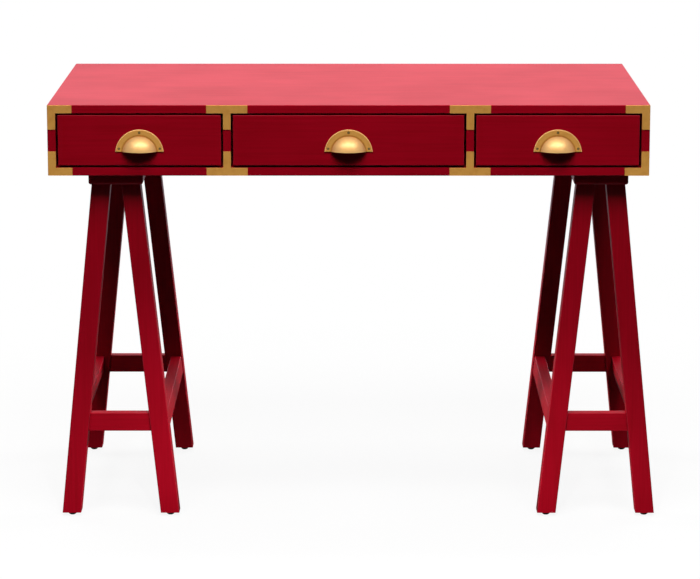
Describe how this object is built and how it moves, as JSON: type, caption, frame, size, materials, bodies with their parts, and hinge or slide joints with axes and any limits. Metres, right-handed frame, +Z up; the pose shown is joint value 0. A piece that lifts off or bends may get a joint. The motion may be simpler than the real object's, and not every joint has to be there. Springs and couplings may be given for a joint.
{
  "type": "trestle desk",
  "caption": "Lacquered writing desk with inset drawers, brass cup pulls and brass edge plates, standing on a pair of A-frame trestles.",
  "frame": {"origin": "on the floor, under the middle of the whole desk's outline", "axes": "+X to the right of the person who sits at the drawers, +Y to the back, +Z up"},
  "size_m": [1.1248, 0.6192, 0.786],
  "materials": {
    "red_lacquer": "satin red lacquer over wood",
    "brass": "satin antique brass",
    "bare_wood": "clear matt varnish",
    "black_plastic": "matt",
    "steel": "zinc plated"
  },
  "bodies": {
    "desk": {"back_panel": "red_lacquer", "bottom_panel": "red_lacquer", "cap_screws": "steel", "carcass_dowels": "bare_wood", "glides": "black_plastic", "left_divider": "red_lacquer", "left_drawer_runners": "bare_wood", "left_side_panel": "red_lacquer", "left_trestle_back_left_leg": "red_lacquer", "left_trestle_back_right_leg": "red_lacquer", "left_trestle_back_stretcher": "red_lacquer", "left_trestle_cap": "red_lacquer", "left_trestle_front_left_leg": "red_lacquer", "left_trestle_front_right_leg": "red_lacquer", "left_trestle_front_stretcher": "red_lacquer", "left_trestle_left_stretcher": "red_lacquer", "left_trestle_right_stretcher": "red_lacquer", "lower_left_corner_plate": "brass", "lower_left_tee_plate": "brass", "lower_right_corner_plate": "brass", "lower_right_tee_plate": "brass", "middle_drawer_runners": "bare_wood", "right_divider": "red_lacquer", "right_drawer_runners": "bare_wood", "right_side_panel": "red_lacquer", "right_trestle_back_left_leg": "red_lacquer", "right_trestle_back_right_leg": "red_lacquer", "right_trestle_back_stretcher": "red_lacquer", "right_trestle_cap": "red_lacquer", "right_trestle_front_left_leg": "red_lacquer", "right_trestle_front_right_leg": "red_lacquer", "right_trestle_front_stretcher": "red_lacquer", "right_trestle_left_stretcher": "red_lacquer", "right_trestle_right_stretcher": "red_lacquer", "top_panel": "red_lacquer", "upper_left_corner_plate": "brass", "upper_left_tee_plate": "brass", "upper_right_corner_plate": "brass", "upper_right_tee_plate": "brass"},
    "left_drawer": {"left_drawer_back": "bare_wood", "left_drawer_bottom": "bare_wood", "left_drawer_cup_pull": "brass", "left_drawer_front": "red_lacquer", "left_drawer_left_side": "bare_wood", "left_drawer_pull_screws": "brass", "left_drawer_right_side": "bare_wood"},
    "middle_drawer": {"middle_drawer_back": "bare_wood", "middle_drawer_bottom": "bare_wood", "middle_drawer_cup_pull": "brass", "middle_drawer_front": "red_lacquer", "middle_drawer_left_side": "bare_wood", "middle_drawer_pull_screws": "brass", "middle_drawer_right_side": "bare_wood"},
    "right_drawer": {"right_drawer_back": "bare_wood", "right_drawer_bottom": "bare_wood", "right_drawer_cup_pull": "brass", "right_drawer_front": "red_lacquer", "right_drawer_left_side": "bare_wood", "right_drawer_pull_screws": "brass", "right_drawer_right_side": "bare_wood"}
  },
  "joints": [
    {"name": "left_drawer_slide", "type": "slide", "parent": "desk", "child": "left_drawer", "axis": [0, -1, 0], "range_m": [0, 0.36]},
    {"name": "middle_drawer_slide", "type": "slide", "parent": "desk", "child": "middle_drawer", "axis": [0, -1, 0], "range_m": [0, 0.36]},
    {"name": "right_drawer_slide", "type": "slide", "parent": "desk", "child": "right_drawer", "axis": [0, -1, 0], "range_m": [0, 0.36]}
  ]
}
